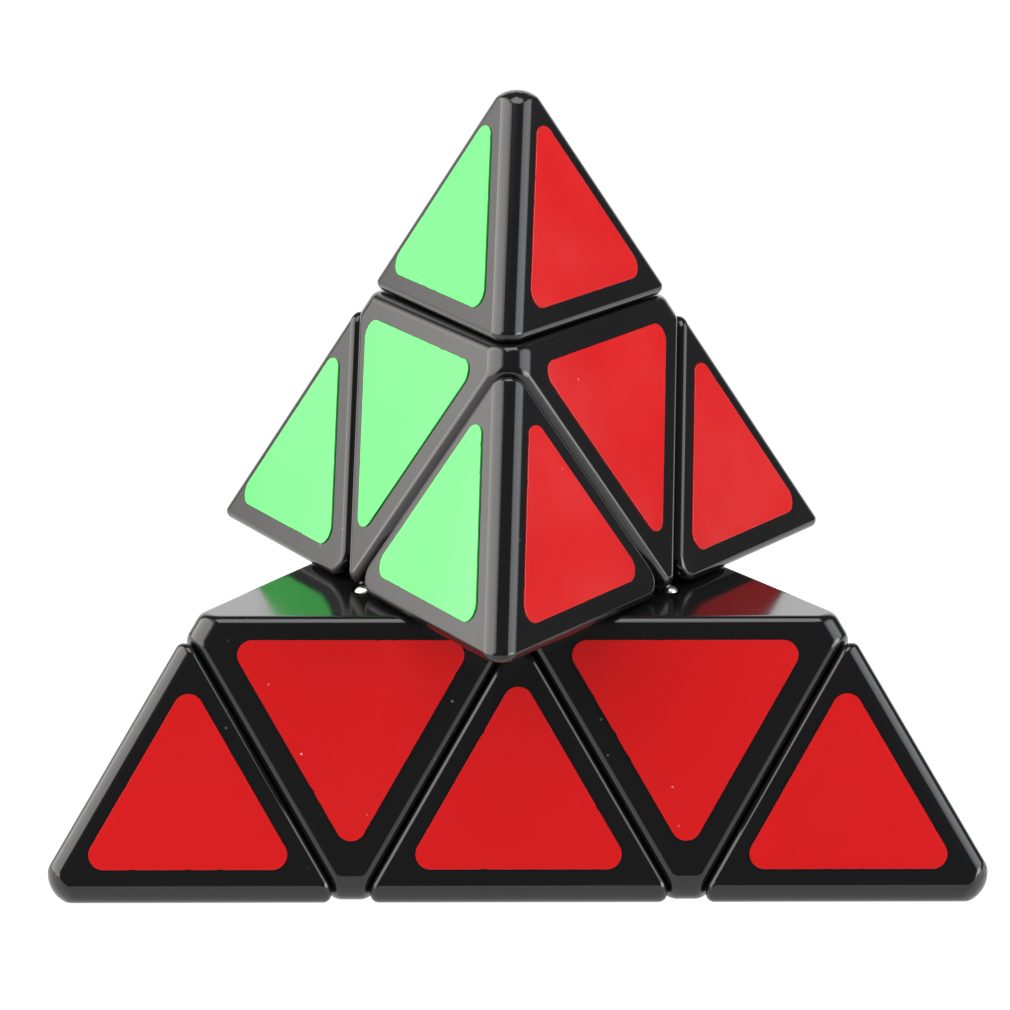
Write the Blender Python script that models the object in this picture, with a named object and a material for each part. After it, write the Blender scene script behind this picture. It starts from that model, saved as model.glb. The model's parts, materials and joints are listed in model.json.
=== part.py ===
"""Pyramid twisty puzzle: four corners, four tips and six edges around a sprung core.

Every cut of the puzzle is square to one of the four directions that run from its centre
to a corner, and everything inside is turned about those same directions. One block of each
kind is therefore made once, for the top corner (direction 0) or for the edge between
corners 0 and 1, and copied to the other corners and edges by rotations of the tetrahedron.
The top layer stands part way through a turn.
"""

import itertools
import math

import bmesh
import bpy
import numpy as np
from mathutils import Matrix, Vector

MM = 0.001

# Driving dimensions.
EDGE = 106.0 * MM  # edge of the tetrahedron before its edges are rounded
PLAY = 0.15 * MM  # open gap between neighbouring blocks
OUTER_ROUND = 2.1 * MM  # radius of tips and edges along the tetrahedron's own edges
CORNER_ROUND = 2.9 * MM  # the same radius on the corner blocks
FILLET = 0.8 * MM  # radius along every other edge of a tip or an edge
CORNER_FILLET = 1.4 * MM  # the same radius on the corner blocks
INNER_ROUND = 2.4 * MM  # radius where the two sides of an edge meet
WALL = 2.0 * MM
FIT = 0.3 * MM  # gap between two pieces that are put together for good
TOP_LAYER_TURN = math.radians(56.5)
TOP_TIP_TURN = math.radians(-0.8)  # the top tip stands a little short of its layer

FACE_DISTANCE = EDGE / (2 * math.sqrt(6))  # centre to face
CORNER_DISTANCE = 3 * FACE_DISTANCE
LAYER_DISTANCE = 0.3385 * FACE_DISTANCE  # centre to a layer's cut
TIP_DISTANCE = 5 / 3 * FACE_DISTANCE  # centre to a tip's cut
TIP_END = 2.75 * FACE_DISTANCE  # centre to the flat that ends a tip's point

# Mechanism, as distances from the puzzle's centre or angles about an edge's direction.
FOOT_INSIDE = 9.0 * MM
FOOT_OUTSIDE = 12.8 * MM
FOOT_ANGLE = math.radians(22.0)
STEM_ANGLE = math.radians(10.0)
STEM_END = 16.5 * MM
SKIRT_INSIDE = FOOT_OUTSIDE + FIT
STEM_ROOM_ANGLE = math.radians(11.2)
STEM_ROOM_END = 17.4 * MM
EDGE_WINDOW = 9.5 * MM  # half diagonal of the square hole in an edge's inner side
EDGE_PLUG_END = 21.0 * MM

CORE_RADIUS = 5.5 * MM
ARM_RADIUS = 3.0 * MM
ARM_END = 8.7 * MM
HUB_START = ARM_END + FIT
HUB_NECK_RADIUS = 4.2 * MM
HUB_NECK_END = 14.7 * MM
HUB_RADIUS = 5.1 * MM
HUB_END = 26.0 * MM
HUB_BORE_RADIUS = 3.1 * MM
SPRING_SEAT = 11.0 * MM
SCREW_START = 3.2 * MM
SCREW_RADIUS = 1.2 * MM
SCREW_HEAD_RADIUS = 2.7 * MM
SCREW_HEAD = (19.4 * MM, 21.6 * MM)
MAIN_SPRING_RADIUS = 2.1 * MM
MAIN_SPRING_WIRE = 0.3 * MM

CORNER_BORE_RADIUS = HUB_RADIUS + FIT
CORNER_ROOF = 31.5 * MM
STALK_RADIUS = 3.0 * MM
STALK_ROOM = 3.4 * MM
STALK_TOP = 56.0 * MM  # inside the solid point of the tip
BARB_RADIUS = 4.2 * MM
BARB = (27.0 * MM, 30.8 * MM)

BALL_RADIUS = 1.19 * MM
BALL_STANDS_OUT = 0.45 * MM
BALL_AXIS_DISTANCE = 18.8 * MM  # from the axis of the layer that the ball clicks for
BALL_BORE_RADIUS = BALL_RADIUS + 0.1 * MM
BALL_BORE_DEPTH = 5.6 * MM
DETENT_SPRING_RADIUS = 0.8 * MM
DETENT_SPRING_WIRE = 0.15 * MM
TRACK_HALF_WIDTH = 1.3 * MM
TRACK_DEPTH = 0.4 * MM  # of the ring-shaped channel that the balls of a turning layer run in
DIMPLE_DEPTH = 0.75 * MM

# Fineness of the curved surfaces.
ROUND_STEPS = 2  # steps in a rounded edge
BALL_SIDES = 8
TURNED_SIDES = 16
TRACK_SIDES = 48
SMALL_SIDES = 10
SPHERE_STEPS = 8  # from pole to pole
SMALL_SPHERE_STEPS = 6

LOW_HEIGHT = -1 / 3  # height of the three lower corner directions
LOW_RADIUS = math.sqrt(8) / 3
LOW_AZIMUTHS = (-150, -30, 90)
DIRECTIONS = [Vector((0, 0, 1))] + [
    Vector(
        (
            LOW_RADIUS * math.cos(math.radians(azimuth)),
            LOW_RADIUS * math.sin(math.radians(azimuth)),
            LOW_HEIGHT,
        )
    )
    for azimuth in LOW_AZIMUTHS
]
HALF_EDGE_ANGLE = math.acos(1 / math.sqrt(3))  # between a corner's direction and an edge's
CORNER_NAMES = ("top", "left", "right", "rear")
EDGE_NAMES = {
    (0, 1): "upper_front",
    (0, 2): "upper_right",
    (0, 3): "upper_left",
    (1, 2): "lower_front",
    (1, 3): "lower_left",
    (2, 3): "lower_right",
}


# ---------------------------------------------------------------- directions and places


def edge_direction(first, second):
    return (DIRECTIONS[first] + DIRECTIONS[second]).normalized()


def axes_of(first, second):
    """Matrix whose columns are three square axes set by two directions."""
    along = first.normalized()
    across = along.cross(second).normalized()
    return Matrix((along, across.cross(along), across)).transposed()


def turn_to(first, second):
    """Rotation of the tetrahedron that takes corners 0 and 1 to these two."""
    here = axes_of(DIRECTIONS[0], DIRECTIONS[1])
    there = axes_of(DIRECTIONS[first], DIRECTIONS[second])
    return (there @ here.transposed()).to_4x4()


def turn_to_corner(corner):
    return turn_to(corner, 0 if corner else 1)


def along(direction):
    """Rotation that takes +Z to a direction."""
    return Vector((0, 0, 1)).rotation_difference(direction).to_matrix().to_4x4()


# ---------------------------------------------------------------- rounded blocks


def corners_of(planes):
    """Corner points of the solid inside planes, each a normal and a distance."""
    normals = np.array([tuple(normal) for normal, _ in planes])
    distances = np.array([distance for _, distance in planes])
    triples = np.array(list(itertools.combinations(range(len(planes)), 3)))
    matrices = normals[triples]
    solvable = np.abs(np.linalg.det(matrices)) > 1e-6
    right = distances[triples][solvable][:, :, None]
    points = np.linalg.solve(matrices[solvable], right)[:, :, 0]
    inside = (points @ normals.T <= distances + 1e-9).all(axis=1)
    return np.unique(np.round(points[inside], 8), axis=0)


def steps_between(normals, steps):
    """Unit directions spread over the spherical polygon that some normals span."""
    shares = [
        share
        for share in itertools.product(range(steps + 1), repeat=len(normals))
        if sum(share) == steps
    ]
    sums = np.array(shares) @ np.array([tuple(normal) for normal in normals])
    return sums / np.linalg.norm(sums, axis=1)[:, None]


def outer_planes(faces, radius=OUTER_ROUND):
    """Outer faces of the tetrahedron, and planes that touch the rounding between them."""
    inner = [d * (CORNER_DISTANCE - 3 * radius) for d in DIRECTIONS]
    planes = []
    for direction in steps_between([-DIRECTIONS[face] for face in faces], ROUND_STEPS):
        reach = max(corner.dot(Vector(direction)) for corner in inner)
        planes.append((direction, reach + radius))
    return planes


def rounded_block(name, planes, patches, fillet=FILLET):
    """Solid inside the planes with every edge rounded to the fillet's radius.

    The planes move inward by the radius, and the solid is the hull of small round patches
    on the corner points that are left. A patch is a list of face normals.
    """
    core = corners_of([(normal, distance - fillet) for normal, distance in planes])
    directions = np.vstack([steps_between(patch, ROUND_STEPS) for patch in patches])
    directions = np.unique(np.round(directions, 9), axis=0)
    points = (core[:, None, :] + fillet * directions[None, :, :]).reshape(-1, 3)
    return hull(name, points)


def hull(name, points):
    bm = bmesh.new()
    for point in points:
        bm.verts.new(point)
    made = bmesh.ops.convex_hull(bm, input=bm.verts)
    unused = {v for key in ("geom_interior", "geom_unused") for v in made[key]}
    bmesh.ops.delete(bm, geom=[v for v in unused if isinstance(v, bmesh.types.BMVert)])
    bmesh.ops.dissolve_limit(bm, angle_limit=math.radians(0.5), verts=bm.verts, edges=bm.edges)
    return mesh_object(name, bm)


def mesh_object(name, bm):
    mesh = bpy.data.meshes.new(name)
    bmesh.ops.recalc_face_normals(bm, faces=bm.faces)
    bm.to_mesh(mesh)
    bm.free()
    made = bpy.data.objects.new(name, mesh)
    bpy.context.collection.objects.link(made)
    return made


# ---------------------------------------------------------------- turned and coiled pieces


def turned(name, profile, sides=TURNED_SIDES, closed=False):
    """Solid of revolution about Z of (radius, height) points, top to bottom or a loop."""
    bm = bmesh.new()
    rings = []
    for radius, height in profile:
        if radius < 1e-7:
            rings.append([bm.verts.new((0, 0, height))])
            continue
        angles = [2 * math.pi * side / sides for side in range(sides)]
        rings.append(
            [bm.verts.new((radius * math.cos(a), radius * math.sin(a), height)) for a in angles]
        )
    followers = rings[1:] + rings[:1] if closed else rings[1:]
    for upper, lower in zip(rings, followers):
        for side in range(sides):
            after = (side + 1) % sides
            corners = [
                upper[side % len(upper)],
                lower[side % len(lower)],
                lower[after % len(lower)],
                upper[after % len(upper)],
            ]
            bm.faces.new(dict.fromkeys(corners))
    return mesh_object(name, bm)


def arc(radius, start, end, steps):
    """Profile points on a sphere about the origin, by angle from Z."""
    angles = [start + (end - start) * step / steps for step in range(steps + 1)]
    return [(radius * math.sin(a), radius * math.cos(a)) for a in angles]


def coil(name, radius, wire, low, high, turns, steps_per_turn, wire_sides):
    """Compression spring about Z from one height to another, closed at both wire ends."""
    bm = bmesh.new()
    steps = int(turns * steps_per_turn)
    rings = []
    for step in range(steps + 1):
        angle = 2 * math.pi * step / steps_per_turn
        height = low + wire + (high - low - 2 * wire) * step / steps
        outward = Vector((math.cos(angle), math.sin(angle), 0))
        centre = outward * radius + Vector((0, 0, height))
        ring = []
        for side in range(wire_sides):
            around = 2 * math.pi * side / wire_sides
            offset = outward * math.cos(around) + Vector((0, 0, math.sin(around)))
            ring.append(bm.verts.new(centre + offset * wire))
        rings.append(ring)
    for near, far in zip(rings, rings[1:]):
        for side in range(wire_sides):
            after = (side + 1) % wire_sides
            bm.faces.new((near[side], near[after], far[after], far[side]))
    bm.faces.new(rings[0])
    bm.faces.new(rings[-1])
    return mesh_object(name, bm)


def shaped(base, operations):
    """Applies (operation, object) Booleans to base in turn, and removes what they used."""
    for operation, tool in operations:
        tool.hide_render = True
        tool.display_type = "WIRE"
        modifier = base.modifiers.new(operation.lower(), "BOOLEAN")
        modifier.operation = operation
        modifier.object = tool
        modifier.solver = "EXACT"
    bpy.context.view_layer.update()
    evaluated = base.evaluated_get(bpy.context.evaluated_depsgraph_get())
    mesh = bpy.data.meshes.new_from_object(evaluated)
    for used in {tool for _, tool in operations} | {base}:
        bpy.data.objects.remove(used)
    return mesh


def placed(tool, matrix):
    tool.matrix_world = matrix
    return tool


def mesh_of(made):
    """Takes the mesh of an object that was only needed to make it."""
    mesh = made.data
    bpy.data.objects.remove(made)
    return mesh


# ---------------------------------------------------------------- blocks


TOP, OTHERS = 0, (1, 2, 3)
BLOCK_FACE = LAYER_DISTANCE - PLAY / 2  # centre to the side of a block below a layer's cut
LAYER_FACE = LAYER_DISTANCE + PLAY / 2  # centre to the side of a block above the cut


def ball_place():
    """Where ball 1 of the top corner leaves its face, and the direction it leaves in."""
    outward = DIRECTIONS[1]
    inward = DIRECTIONS[TOP] - outward * DIRECTIONS[TOP].dot(outward)
    point = outward * BLOCK_FACE + inward.normalized() * BALL_AXIS_DISTANCE
    return point, outward


def detent_frame(other):
    """Frame of one of the top corner's balls: origin on the face, +Z outward."""
    point, outward = ball_place()
    return turn_to(TOP, other) @ Matrix.Translation(point) @ along(outward)


def ball_track(direction):
    """Cutter for the channel about a layer's axis, in the side of a block above the cut."""
    inside = BALL_AXIS_DISTANCE - TRACK_HALF_WIDTH
    outside = BALL_AXIS_DISTANCE + TRACK_HALF_WIDTH
    ceiling = LAYER_FACE + TRACK_DEPTH
    profile = [(outside, ceiling), (outside, 0), (inside, 0), (inside, ceiling)]
    return placed(turned("ball_track", profile, TRACK_SIDES, closed=True), along(direction))


def click_tools():
    """Cutters for the ball tracks and the dimples in both sides of edge 0-1."""
    tools = []
    for other, layer in ((0, 1), (1, 0)):
        axis = DIRECTIONS[layer]
        inward = DIRECTIONS[other] - axis * DIRECTIONS[other].dot(axis)
        point = axis * (LAYER_FACE + DIMPLE_DEPTH - BALL_RADIUS)
        point += inward.normalized() * BALL_AXIS_DISTANCE
        dimple = turned("dimple", arc(BALL_RADIUS, 0, math.pi, SMALL_SPHERE_STEPS), SMALL_SIDES)
        place = Matrix.Translation(point) @ along(axis)
        tools.append(("DIFFERENCE", ball_track(axis)))
        tools.append(("DIFFERENCE", placed(dimple, place)))
    return tools


def corner_shell_mesh():
    planes = [(DIRECTIONS[TOP], TIP_DISTANCE - PLAY / 2)]
    planes += [(-DIRECTIONS[TOP], -LAYER_FACE)]
    planes += [(DIRECTIONS[other], BLOCK_FACE) for other in OTHERS]
    for pair in itertools.combinations(OTHERS, 2):
        planes += outer_planes(pair, CORNER_ROUND)
    patches = []
    for pair in itertools.combinations(range(4), 2):
        away = [-DIRECTIONS[i] for i in range(4) if i not in pair]
        patches += [[DIRECTIONS[i], *away] for i in pair]
    shell = rounded_block("corner_shell", planes, patches, CORNER_FILLET)

    # The faceted room still has to hold the whole sphere that the feet turn in.
    room_radius = SKIRT_INSIDE / math.cos(math.pi / TURNED_SIDES) ** 2
    room = turned("foot_room", arc(room_radius, 0, math.pi, SPHERE_STEPS))
    tools = [("DIFFERENCE", room), ("DIFFERENCE", ball_track(DIRECTIONS[TOP]))]
    room_angle = HALF_EDGE_ANGLE + STEM_ROOM_ANGLE
    for other in OTHERS:
        sector = turned(
            "stem_room",
            arc(STEM_ROOM_END, 0, room_angle, SMALL_SPHERE_STEPS) + [(0, 0)],
            2 * TURNED_SIDES,
        )
        tools.append(("DIFFERENCE", placed(sector, along(DIRECTIONS[other]))))
    bore = [
        (0, CORNER_DISTANCE),
        (STALK_ROOM, CORNER_DISTANCE),
        (STALK_ROOM, CORNER_ROOF),
        (CORNER_BORE_RADIUS, CORNER_ROOF),
        (CORNER_BORE_RADIUS, 0),
        (0, 0),
    ]
    tools.append(("DIFFERENCE", turned("hub_room", bore)))
    for other in OTHERS:
        profile = [
            (0, WALL),
            (BALL_BORE_RADIUS, WALL),
            (BALL_BORE_RADIUS, -BALL_BORE_DEPTH),
            (0, -BALL_BORE_DEPTH),
        ]
        ball_bore = turned("ball_bore", profile, SMALL_SIDES)
        tools.append(("DIFFERENCE", placed(ball_bore, detent_frame(other))))
    return shaped(shell, tools)


def tip_mesh():
    planes = [(-DIRECTIONS[TOP], -TIP_DISTANCE - PLAY / 2), (DIRECTIONS[TOP], TIP_END)]
    planes += outer_planes(OTHERS)
    patches = [[-DIRECTIONS[other] for other in OTHERS]]
    for first, second in itertools.combinations(OTHERS, 2):
        for end in (DIRECTIONS[TOP], -DIRECTIONS[TOP]):
            patches.append([end, -DIRECTIONS[first], -DIRECTIONS[second]])
    shell = rounded_block("tip", planes, patches)

    hollow_planes = [(-DIRECTIONS[other], FACE_DISTANCE - WALL) for other in OTHERS]
    hollow_planes.append((-DIRECTIONS[TOP], -TIP_DISTANCE + WALL))
    hollow_planes.append((DIRECTIONS[TOP], STALK_TOP - WALL))
    hollow = hull("tip_hollow", corners_of(hollow_planes))
    stalk = [
        (0, STALK_TOP),
        (STALK_RADIUS, STALK_TOP),
        (STALK_RADIUS, BARB[1]),
        (BARB_RADIUS, BARB[1]),
        (STALK_RADIUS, BARB[0]),
        (0, BARB[0]),
    ]
    return shaped(shell, [("DIFFERENCE", hollow), ("UNION", turned("stalk", stalk))])


def edge_prism(name, half_diagonal, reach):
    """Square post along edge 0-1's direction, its diagonals in the edge's two mirror planes."""
    outward = edge_direction(0, 1)
    across = (DIRECTIONS[0] - DIRECTIONS[1]).normalized()
    sideways = outward.cross(across)
    points = []
    for height in (0, reach):
        for offset in (across, sideways, -across, -sideways):
            points.append(outward * height + offset * half_diagonal)
    return hull(name, points)


def side_planes():
    """The two sides of edge 0-1, and planes that touch the rounding where they meet."""
    axis = edge_direction(0, 1)
    middle = axis * (LAYER_FACE + INNER_ROUND) / axis.dot(DIRECTIONS[0])
    planes = []
    for direction in steps_between([-DIRECTIONS[0], -DIRECTIONS[1]], ROUND_STEPS):
        planes.append((direction, middle.dot(Vector(direction)) + INNER_ROUND))
    return planes


def edge_shell_mesh():
    planes = side_planes() + outer_planes((2, 3))
    patches = [[-DIRECTIONS[i] for i in three] for three in itertools.combinations(range(4), 3)]
    shell = rounded_block("edge_shell", planes, patches)
    window = edge_prism("window", EDGE_WINDOW, CORNER_DISTANCE)
    limits = [(-DIRECTIONS[face], FACE_DISTANCE - WALL) for face in (2, 3)]
    limits += [(-DIRECTIONS[side], 0) for side in (0, 1)]
    room = hull("edge_room", corners_of(limits))
    hollow_mesh = shaped(window, [("INTERSECT", room)])
    hollow = bpy.data.objects.new("edge_hollow", hollow_mesh)
    bpy.context.collection.objects.link(hollow)
    return shaped(shell, [("DIFFERENCE", hollow), *click_tools()])


def edge_foot_mesh():
    plug = edge_prism("edge_foot", EDGE_WINDOW - FIT * math.sqrt(2), EDGE_PLUG_END)
    limits = [(-DIRECTIONS[side], -LAYER_FACE) for side in (0, 1)]
    limits += [(-DIRECTIONS[face], CORNER_DISTANCE) for face in (2, 3)]
    wedge = hull("wedge", corners_of(limits))
    foot = arc(FOOT_INSIDE, 0, FOOT_ANGLE, 3)
    foot += arc(FOOT_OUTSIDE, FOOT_ANGLE, STEM_ANGLE, 2)
    foot += [arc(STEM_END, STEM_ANGLE, 0, 1)[0], (0, STEM_END)]
    lathed = placed(turned("foot", foot[::-1]), along(edge_direction(0, 1)))
    return shaped(plug, [("INTERSECT", wedge), *click_tools(), ("UNION", lathed)])


def hub_mesh():
    profile = [
        (HUB_BORE_RADIUS, HUB_END),
        (HUB_RADIUS, HUB_END),
        (HUB_RADIUS, HUB_NECK_END),
        (HUB_NECK_RADIUS, HUB_NECK_END),
        (HUB_NECK_RADIUS, HUB_START),
        (SCREW_RADIUS + FIT, HUB_START),
        (SCREW_RADIUS + FIT, SPRING_SEAT),
        (HUB_BORE_RADIUS, SPRING_SEAT),
    ]
    return mesh_of(turned("hub", profile, closed=True))


def core_mesh():
    ball = turned("core", arc(CORE_RADIUS, 0, math.pi, SPHERE_STEPS))
    tools = []
    for direction in DIRECTIONS:
        arm = turned("arm", [(0, ARM_END), (ARM_RADIUS, ARM_END), (ARM_RADIUS, 0), (0, 0)])
        tools.append(("UNION", placed(arm, along(direction))))
    hole_radius = SCREW_RADIUS + FIT
    hole_start = SCREW_START - FIT
    for direction in DIRECTIONS:
        profile = [
            (0, 2 * ARM_END),
            (hole_radius, 2 * ARM_END),
            (hole_radius, hole_start),
            (0, hole_start),
        ]
        hole = turned("screw_hole", profile, SMALL_SIDES)
        tools.append(("DIFFERENCE", placed(hole, along(direction))))
    return shaped(ball, tools)


def screw_mesh():
    bottom, top = SCREW_HEAD
    recess_radius = 0.45 * SCREW_HEAD_RADIUS
    recess_floor = top - 0.6 * (top - bottom)
    profile = [
        (0, recess_floor),
        (recess_radius, top),
        (0.85 * SCREW_HEAD_RADIUS, top),
        (SCREW_HEAD_RADIUS, (top + bottom) / 2),
        (SCREW_HEAD_RADIUS, bottom),
        (SCREW_RADIUS, bottom),
        (SCREW_RADIUS, SCREW_START + SCREW_RADIUS),
        (0, SCREW_START),
    ]
    return mesh_of(turned("screw", profile, SMALL_SIDES))


def main_spring_mesh():
    low, high = SPRING_SEAT + FIT, SCREW_HEAD[0] - FIT
    return mesh_of(
        coil("spring", MAIN_SPRING_RADIUS, MAIN_SPRING_WIRE, low, high, 4, 8, 4)
    )


def ball_mesh():
    ball = turned("ball", arc(BALL_RADIUS, 0, math.pi, 5), BALL_SIDES)
    ball.data.transform(Matrix.Translation((0, 0, BALL_STANDS_OUT - BALL_RADIUS)))
    return mesh_of(ball)


def detent_spring_mesh():
    low = FIT - BALL_BORE_DEPTH
    high = BALL_STANDS_OUT - 2 * BALL_RADIUS - 0.1 * MM
    return mesh_of(
        coil("detent", DETENT_SPRING_RADIUS, DETENT_SPRING_WIRE, low, high, 3, 7, 3)
    )


# ---------------------------------------------------------------- materials and assembly


def material(name, color, roughness, metallic=0.0):
    made = bpy.data.materials.new(name)
    made.use_nodes = True
    shader = made.node_tree.nodes["Principled BSDF"]
    shader.inputs["Base Color"].default_value = (*color, 1)
    shader.inputs["Roughness"].default_value = roughness
    shader.inputs["Metallic"].default_value = metallic
    return made


def empty(name, parent=None, turn=0.0):
    made = bpy.data.objects.new(name, None)
    bpy.context.collection.objects.link(made)
    made.parent = parent
    made.rotation_euler.z = turn
    return made


def copy_of(mesh, name, parent, matrix, finish):
    if not mesh.materials:
        mesh.materials.append(finish)
        mesh.shade_smooth()
        mesh.set_sharp_from_angle(angle=math.radians(40))
    made = bpy.data.objects.new(name, mesh)
    bpy.context.collection.objects.link(made)
    made.parent = parent
    made.matrix_local = matrix
    return made


def main():
    for old in list(bpy.data.objects):
        bpy.data.objects.remove(old)

    shell_black = material("shell_black", (0.012, 0.012, 0.013), 0.12)
    inner_black = material("inner_black", (0.03, 0.03, 0.032), 0.45)
    core_white = material("core_white", (0.75, 0.75, 0.73), 0.45)
    steel = material("steel", (0.6, 0.6, 0.62), 0.25, 1.0)

    meshes = {
        "corner_shell": corner_shell_mesh(),
        "tip": tip_mesh(),
        "edge_shell": edge_shell_mesh(),
        "edge_foot": edge_foot_mesh(),
        "corner_hub": hub_mesh(),
        "screw": screw_mesh(),
        "main_spring": main_spring_mesh(),
        "detent_ball": ball_mesh(),
        "detent_spring": detent_spring_mesh(),
    }
    core = core_mesh()

    centre = empty("puzzle_centre")
    top_layer = empty("top_layer", centre, TOP_LAYER_TURN)

    copy_of(core, "core", centre, Matrix(), core_white)
    for corner, word in enumerate(CORNER_NAMES):
        layer = centre if corner else top_layer
        turn = turn_to_corner(corner)
        copy_of(meshes["screw"], f"screw_{word}", centre, turn, steel)
        copy_of(meshes["main_spring"], f"main_spring_{word}", centre, turn, steel)
        copy_of(meshes["corner_hub"], f"corner_hub_{word}", layer, turn, inner_black)
        copy_of(meshes["corner_shell"], f"corner_shell_{word}", layer, turn, shell_black)
        tip_turn = Matrix() if corner else Matrix.Rotation(TOP_TIP_TURN, 4, "Z")
        copy_of(meshes["tip"], f"tip_{word}", layer, turn @ tip_turn, shell_black)
        for number, other in enumerate(OTHERS, start=1):
            place = turn @ detent_frame(other)
            ball_name = f"detent_ball_{word}_{number}"
            spring_name = f"detent_spring_{word}_{number}"
            copy_of(meshes["detent_ball"], ball_name, layer, place, steel)
            copy_of(meshes["detent_spring"], spring_name, layer, place, steel)
    for (first, second), word in EDGE_NAMES.items():
        layer = centre if first else top_layer
        turn = turn_to(first, second)
        copy_of(meshes["edge_shell"], f"edge_shell_{word}", layer, turn, shell_black)
        copy_of(meshes["edge_foot"], f"edge_foot_{word}", layer, turn, inner_black)

    stand_on_origin(centre)


def stand_on_origin(centre):
    """Puts the middle of the puzzle's footprint on the origin, with its base face at z = 0."""
    bpy.context.view_layer.update()
    points = [
        made.matrix_world @ vertex.co
        for made in bpy.data.objects
        if made.type == "MESH"
        for vertex in made.data.vertices
    ]
    across = [point.x for point in points]
    deep = [point.y for point in points]
    low = min(point.z for point in points)
    centre.location = (-(min(across) + max(across)) / 2, -(min(deep) + max(deep)) / 2, -low)


main()
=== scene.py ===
import itertools
import json
import math
import random

import bmesh
import bpy
import numpy as np
from mathutils import Matrix, Vector


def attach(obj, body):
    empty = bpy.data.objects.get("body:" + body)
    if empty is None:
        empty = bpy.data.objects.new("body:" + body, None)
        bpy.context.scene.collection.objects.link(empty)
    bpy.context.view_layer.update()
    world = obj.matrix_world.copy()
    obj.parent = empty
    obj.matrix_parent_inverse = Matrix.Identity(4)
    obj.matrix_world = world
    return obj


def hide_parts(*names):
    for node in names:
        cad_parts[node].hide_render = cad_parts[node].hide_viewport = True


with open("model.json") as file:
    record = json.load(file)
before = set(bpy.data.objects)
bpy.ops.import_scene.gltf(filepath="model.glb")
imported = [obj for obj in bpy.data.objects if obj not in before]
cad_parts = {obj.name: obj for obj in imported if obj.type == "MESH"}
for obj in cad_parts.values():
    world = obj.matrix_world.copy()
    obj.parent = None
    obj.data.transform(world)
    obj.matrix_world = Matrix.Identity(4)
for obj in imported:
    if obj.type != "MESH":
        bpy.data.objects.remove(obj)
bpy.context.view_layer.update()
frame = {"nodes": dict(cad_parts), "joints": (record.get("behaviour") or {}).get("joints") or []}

MM = 0.001
JOINTS = {joint["name"]: joint for joint in frame["joints"]}
CENTRE = Vector(JOINTS["top_layer_turn"]["pos_m"])

# The puzzle's driving dimensions, as in the CAD model except at the tips' ends, which are domed
# here and flat there.
EDGE = 106.0 * MM
PLAY = 0.15 * MM
OUTER_ROUND = 2.1 * MM
CORNER_ROUND = 2.9 * MM
FILLET = 0.8 * MM
CORNER_FILLET = 1.4 * MM
INNER_ROUND = 2.4 * MM
WALL = 2.0 * MM
TOP_LAYER_TURN = math.radians(56.5)
TOP_TIP_TURN = math.radians(-0.8)
FACE_DISTANCE = EDGE / (2 * math.sqrt(6))
CORNER_DISTANCE = 3 * FACE_DISTANCE
LAYER_DISTANCE = 0.3385 * FACE_DISTANCE
TIP_DISTANCE = 5 / 3 * FACE_DISTANCE
TIP_END = 2.763 * FACE_DISTANCE
TIP_DOME_RADIUS = 3.4 * MM
TIP_DOME_SPREAD = math.radians(46)
BLOCK_FACE = LAYER_DISTANCE - PLAY / 2
LAYER_FACE = LAYER_DISTANCE + PLAY / 2

# Rooms inside the blocks.
FOOT_ROOM = 13.1 * MM
STEM_ROOM_ANGLE = math.radians(11.2)
STEM_ROOM_END = 17.4 * MM
STALK_ROOM = 3.4 * MM
HUB_ROOM = 5.4 * MM
CORNER_ROOF = 31.5 * MM
STALK_RADIUS = 3.0 * MM
STALK_TOP = 56.0 * MM
BARB_RADIUS = 4.2 * MM
BARB = (27.0 * MM, 30.8 * MM)
EDGE_WINDOW = 9.5 * MM

# Detents. The dimples that the balls click into are only in the CAD model's parts.
BALL_RADIUS = 1.19 * MM
BALL_STANDS_OUT = 0.45 * MM
BALL_AXIS_DISTANCE = 18.8 * MM
BALL_BORE_RADIUS = 1.29 * MM
BALL_BORE_DEPTH = 5.6 * MM
BALL_BORE_LIP = 0.15 * MM
TRACK_HALF_WIDTH = 1.3 * MM
TRACK_DEPTH = 0.4 * MM

# Springs: coil radius, wire radius, lowest and highest point, turns.
MAIN_SPRING = (2.1 * MM, 0.3 * MM, 11.3 * MM, 19.1 * MM, 5.5)
DETENT_SPRING = (0.8 * MM, 0.15 * MM, -5.3 * MM, -1.98 * MM, 5.5)
SPRING_FLAT_SHARE = 0.6  # share of each end turn in which the coil doesn't climb

# Stickers: side of the triangle before its corners are rounded, and the shift of its middle
# away from the middle of the face.
STICKER_SIDE = {"tip": 23.1 * MM, "edge": 23.93 * MM, "corner": 26.15 * MM}
STICKER_SHIFT = {"tip": -0.9 * MM, "edge": -0.7 * MM, "corner": -0.13 * MM}
STICKER_ROUND = 1.6 * MM
# How far a face's stickers all sit off their places, to the right and up.
STICKER_DRIFT = {
    "red": Vector((-0.05, 0.3)) * MM,
    "green": Vector((-0.65, 0.12)) * MM,
    "yellow": Vector((0.2, -0.15)) * MM,
    "blue": Vector((-0.25, 0.2)) * MM,
}
STICKER_THICKNESS = 0.16 * MM
STICKER_RIM = 0.05 * MM
# Flaws of the cut: how many nicks, their least and greatest depth, and the waver between them.
STICKER_NICKS = 5
NICK_DEPTH = (0.02, 0.09)
CUT_WAVER = 0.012
FACE_COLOURS = ("blue", "yellow", "green", "red")

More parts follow.
